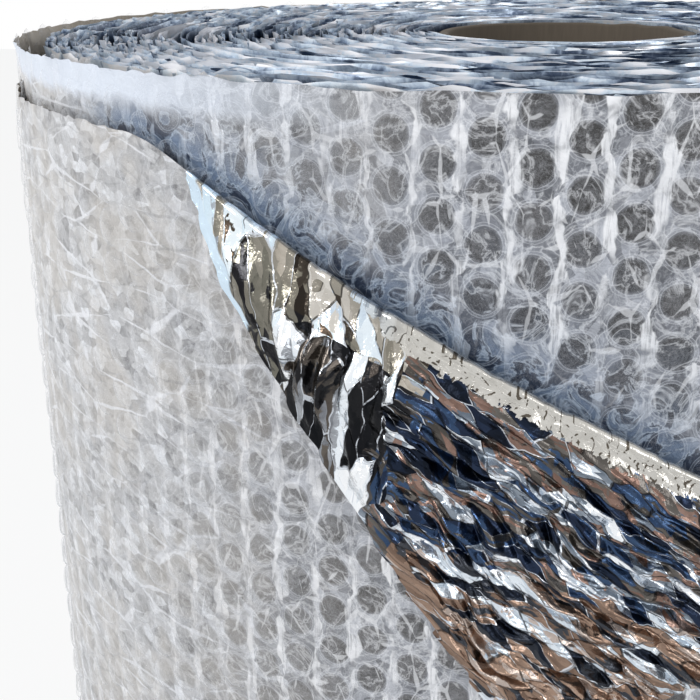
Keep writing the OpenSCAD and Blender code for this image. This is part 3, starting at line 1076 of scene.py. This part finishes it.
def bubble_domes(name, wound, height, edge, under, material, seed):
    """Thin domes on the foil: a ring of points at the weld, one up the side, one at the shoulder and a
    middle point. Each dome is squashed, turned and dented by its own random draws."""
    draws = np.random.default_rng(seed)
    count = len(wound)
    rings, segments = len(DOME_RISE), DOME_SEGMENTS
    rise = DOME_RISE[None, :, None]
    radius = foil_radius(wound)
    angle = np.radians(direction(wound))
    out = np.stack([np.sin(angle), -np.cos(angle), np.zeros(count)], -1)
    side = np.stack([np.cos(angle), np.sin(angle), np.zeros(count)], -1)
    seat = radius + wall_relief(wound, height, sizes().seed + (5 if under else 0))
    flare = RIM_FLARE * hump(direction(wound)) * np.exp(-edge / (12 * MM)) if under else 0
    centre = round_the_roll(direction(wound), seat + flare, height)
    pressed = 1 - 0.5 * smooth(-direction(wound), 20, 70) * (direction(wound) < 0)
    full = sizes().bubble_height * draws.uniform(0.62, 1.0, count) * smooth(edge, 0, sizes().margin * 1.3)
    full = full * pressed
    wide = sizes().bubble_radius * draws.uniform(0.95, 1.03, count)
    turn = 2 * np.pi * np.arange(segments) / segments
    wave = 1 + 0.05 * np.sin(2 * turn[None, :] + draws.uniform(0, 6.3, (count, 1)))
    tip = draws.uniform(-0.16, 0.16, (count, 2))
    dent = draws.uniform(0, 1, count) ** 3 * 0.45

    ring_r = wide[:, None, None] * DOME_REACH[None, :, None] * wave[:, None, :]
    x = ring_r * np.cos(turn)
    y = ring_r * np.sin(turn)
    tilt = tip[:, :1] * np.cos(turn) + tip[:, 1:] * np.sin(turn)
    slope = 1 + tilt[:, None, :] * rise
    sag = 1 - dent[:, None, None] * DOME_SAG[None, :, None]
    h = full[:, None, None] * rise * slope * sag
    points = (centre[:, None, None, :] + x[..., None] * side[:, None, None, :]
              + h[..., None] * out[:, None, None, :])
    points[..., 2] += y
    sides = points.reshape(count, rings * segments, 3)
    middle = centre + out * (full * (1 - dent))[:, None]
    points = np.concatenate([sides, middle[:, None, :]], 1)

    per = rings * segments + 1
    k = np.arange(segments)
    after = (k + 1) % segments
    lowest = np.stack([k, after, segments + after, segments + k], -1)
    quads = np.concatenate([lowest + r * segments for r in range(rings - 1)])
    inner = (rings - 1) * segments
    tops = np.stack([inner + k, inner + after, np.full(segments, per - 1)], -1)
    faces = (np.arange(count)[:, None, None] * per + quads[None]).reshape(-1, 4)
    fans = (np.arange(count)[:, None, None] * per + tops[None]).reshape(-1, 3)
    return roll_piece(name, points.reshape(-1, 3), [faces, fans], material)


class ROLL_OT_bubbles(bpy.types.Operator):
    """The bubbles of the outermost turn, a piece for each quarter, and those that show on the turn under
    it"""

    bl_idname = "roll.bubbles"
    bl_label = "Bubbles"

    def execute(self, context):
        film = bubble_film_material()
        wound, height, edge, outer = bubble_places()
        seed = sizes().seed
        for quarter, name in enumerate(("right", "back", "left", "front")):
            low = LAST_START + 90 * quarter
            here = outer & (wound > low) & (wound <= low + 90)
            places = wound[here], height[here], edge[here]
            bubble_domes("bubbles_" + name, *places, False, film, seed + quarter)
        places = wound[~outer], height[~outer], edge[~outer]
        bubble_domes("bubbles_under_fold", *places, True, film, seed + 9)
        return {"FINISHED"}


# Sine of the angle between the fold and the corner's left edge, and how much is trimmed off that edge
FLAP_SINE = (FOLD_ALONG * -TIP_Z - FOLD_DOWN * (TIP_X + FOLD_ALONG)) / (
    FOLD_LEN * math.hypot(TIP_X + FOLD_ALONG, TIP_Z))
FLAP_TRIM = 7 * MM


def puckers(x, y, seed):
    """Creases about scattered points, one in each unit square: the second nearest distance minus the
    nearest, which is 0 on the straight borders between them and rises to a peak at each point."""
    best = np.full(x.shape, 9.0)
    second = np.full(x.shape, 9.0)
    for i in (-1, 0, 1):
        for j in (-1, 0, 1):
            cx, cy = np.floor(x) + i, np.floor(y) + j
            px = cx + 0.5 + 0.45 * value_noise(cx, cy, seed)
            py = cy + 0.5 + 0.45 * value_noise(cx, cy, seed + 1)
            d = np.hypot(x - px, y - py)
            second = np.minimum(second, np.maximum(best, d))
            best = np.minimum(best, d)
    return np.clip(second - best, 0, 1)


def crumple_height(x, z, lies, fold_gap):
    """Creased foil as a share of full height: puckers laid along the facets of each part of the corner,
    with finer ones on them, which fade out towards the band beside the fold."""
    x = x + 4 * MM * value_noise(x / (18 * MM), z / (18 * MM), 61)
    z = z + 4 * MM * value_noise(x / (18 * MM), z / (18 * MM), 62)
    high = 0
    for k, ((turn, wide, tall), share) in enumerate(zip(FACET_LIES, lies)):
        across = (x * math.cos(turn) + z * math.sin(turn)) / (wide * MM)
        down = (z * math.cos(turn) - x * math.sin(turn)) / (tall * MM)
        broad = puckers(across / 1.9, down / 1.5, 70 + 4 * k)
        fine = puckers(across * 1.1, down * 1.1, 72 + 4 * k)
        high = high + share * (0.75 * broad + 0.3 * fine)
    return smooth(fold_gap, 1 * MM, 16 * MM) * high


class ROLL_OT_folded_corner(bpy.types.Operator):
    """The top corner of the free end, folded outwards over the bubbles, with its foil in sharp crumples"""

    bl_idname = "roll.folded_corner"
    bl_label = "Folded corner"

    def execute(self, context):
        # u runs along the fold, from its upper end to the free end, and v from the fold to the tip. The
        # first rows go half round the bend before v begins. x and z are places on the unrolled wall.
        bend_rows, flap_rows, columns = 14, 230, 360
        row = np.arange(bend_rows + flap_rows)[None, :]
        v = np.clip(row - bend_rows + 1, 0, None) / flap_rows * 0.93
        nick = value_noise(v * 24, 0 * v, 5) + 0.6 * value_noise(v * 61, 0 * v, 6)
        start = (FLAP_TRIM + 0.8 * MM * nick) / (FOLD_LEN * FLAP_SINE) / (1 - v)
        u = start + (1 - start) * np.linspace(0, 1, columns)[:, None]
        bend = np.pi * np.clip(row, 0, bend_rows - 1) / (bend_rows - 1)
        x = -FOLD_ALONG * (1 - u) * (1 - v) + TIP_X * v
        z = -FOLD_DOWN * eased(u) * (1 - v) + TIP_Z * v
        wound = WOUND + np.degrees(x / END_R)
        # Distances from the upper end of the fold along it, from the fold, and from the corner's left edge
        along = ((x + FOLD_ALONG) * FOLD_ALONG - z * FOLD_DOWN) / FOLD_LEN
        fold_gap = -(x * FOLD_DOWN + (z + FOLD_DOWN) * FOLD_ALONG) / FOLD_LEN
        across = TIP_X + FOLD_ALONG
        edge_gap = ((x + FOLD_ALONG) * -TIP_Z + z * across) / math.hypot(across, TIP_Z)
        inset = edge_gap - FLAP_TRIM

        # How much each part of the corner, whose facets lie another way, has of each point
        rag = value_noise(x / (9 * MM), z / (9 * MM), 51)
        rag = rag + 0.5 * value_noise(x / (4 * MM), z / (4 * MM), 52)
        blur = 6 * MM * rag
        middle = smooth(along + blur, 62 * MM, 66 * MM) * smooth(fold_gap + blur, 6 * MM, 9 * MM)
        far = smooth(along + blur - 0.25 * fold_gap, 84 * MM, 88 * MM)
        lies = ((1 - middle) * (1 - far), middle * (1 - far), far)

        # The bend's half circle, then the creases and a fine crush on it
        thin = 0.42 + 0.58 * smooth(fold_gap, 0, 18 * MM)
        starting = 0.25 + 0.75 * smooth(along, 14 * MM, 34 * MM)
        bend_r = (2 * SHEET_T + TURN_GAP) / 2 * thin * starting
        crush = value_noise(x / (5 * MM), z / (16 * MM), 9)
        crush = crush + 0.7 * value_noise(x / (2.2 * MM), z / (6 * MM), 10)
        stand = bend_r * (1 - np.cos(bend))
        lift = bend_r * np.sin(bend) * 0.8
        high = sizes().crumple * crumple_height(x, z, lies, fold_gap)
        pucker = 0.5 * MM * crush * smooth(row, 0, 6) * (1 - 0.6 * smooth(fold_gap, 10 * MM, 30 * MM))
        flat_edge = smooth(inset, -1 * MM, 9 * MM)
        radius = foil_radius(wound) + stand + np.where(v > 0, high, 0) * flat_edge + pucker
        wavy = 0.55 * MM * crush * np.sin(bend)
        height = TOP_Z - EDGE_SLIP + EDGE_LIFT + z + lift + wavy
        points = round_the_roll(direction(wound), radius, height)

        mm = 1 / MM
        # Shares of the parts of the corner, each with its own range of painted reflections; warm picks
        # cream over cold blue in the band beside the fold, and the pale left edge is a painted reflection
        # too
        warm = smooth(along, 62 * MM, 84 * MM)
        sunk = fold_gap + 0.12 * (along - 120 * MM)
        values = {
            "lie_1": middle, "lie_2": far, "warm": warm,
            "tan": smooth(along, 34 * MM, 60 * MM) * smooth(-fold_gap, -13 * MM, -5 * MM),
            "dark": smooth(along, 50 * MM, 70 * MM) * smooth(fold_gap, 6 * MM, 12 * MM),
            "right": smooth(along - 0.1 * fold_gap, 76 * MM, 98 * MM) * smooth(fold_gap, -2 * MM, 4 * MM),
            "low": smooth(sunk, 26 * MM, 46 * MM) * smooth(along, 96 * MM, 112 * MM),
            "band": ((-1.2 + 5.4 * warm) * MM - fold_gap) * mm / 4,
            "pale_edge_reflection": smooth(2.2 * MM - inset + 1.2 * MM * rag, -0.2 * MM, 0.2 * MM) * (along < 50 * MM),
        }
        uv = np.stack([x, z], -1) * mm
        grid_piece("folded_corner", points, corner_foil_material(), uv, values)
        return {"FINISHED"}


class ROLL_OT_core_tube(bpy.types.Operator):
    """The cardboard tube, whose soft top edge stands nearly as high as the turns round it"""

    bl_idname = "roll.core_tube"
    bl_label = "Cardboard tube"

    def execute(self, context):
        # A closed outline of radius and height, turned once round the axis
        outer = (TUBE_HIGH.x - TUBE_LOW.x) / 2
        inner = outer - TUBE_WALL
        top = TOP_Z - 0.8 * MM
        soft = 0.6 * MM
        profile = np.array([(outer, 0), (outer, top - soft), (outer - soft, top), (inner + soft, top),
                            (inner, top - soft), (inner, 0), (outer, 0)])
        angle = np.linspace(0, 360, 129)[:, None]
        rag = 0.35 * MM * value_noise(np.linspace(0, 128, 129)[:, None] % 128 / 4, 0, 91)
        high = profile[None, ::-1, 1] + np.where(profile[None, ::-1, 1] > 0.5, rag, 0)
        points = round_the_roll(angle, profile[None, ::-1, 0], high)
        tube = grid_piece("paper_tube", points, cardboard_material())
        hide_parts("core_tube")
        return {"FINISHED"}


class ROLL_PT_panel(bpy.types.Panel):
    """Sizes, colours and build steps of the roll"""

    bl_idname = "ROLL_PT_panel"
    bl_label = "Insulation roll"
    bl_space_type = "VIEW_3D"
    bl_region_type = "UI"
    bl_category = "Roll"

    def draw(self, context):
        for group in (context.scene.roll_sizes, context.scene.roll_colours):
            box = self.layout.box()
            for key in group.__annotations__:
                box.prop(group, key)
        for step in STEPS:
            self.layout.operator(step.bl_idname)


STEPS = (ROLL_OT_stage, ROLL_OT_core_tube, ROLL_OT_wound_turns, ROLL_OT_outer_turns, ROLL_OT_bubbles,
         ROLL_OT_folded_corner)
CLASSES = (RollSizes, RollColours, *STEPS, ROLL_PT_panel)


def register():
    """Adds the classes, and the sizes and colours of the scene."""
    for each in CLASSES:
        bpy.utils.register_class(each)
    bpy.types.Scene.roll_sizes = bpy.props.PointerProperty(type=RollSizes)
    bpy.types.Scene.roll_colours = bpy.props.PointerProperty(type=RollColours)


def unregister():
    """Takes them away again."""
    del bpy.types.Scene.roll_colours
    del bpy.types.Scene.roll_sizes
    for each in reversed(CLASSES):
        bpy.utils.unregister_class(each)


def main():
    """Registers the classes and builds every piece in order."""
    register()
    bpy.ops.roll.stage()
    bpy.ops.roll.core_tube()
    bpy.ops.roll.wound_turns()
    bpy.ops.roll.outer_turns()
    bpy.ops.roll.bubbles()
    bpy.ops.roll.folded_corner()


if __name__ == "__main__":
    main()
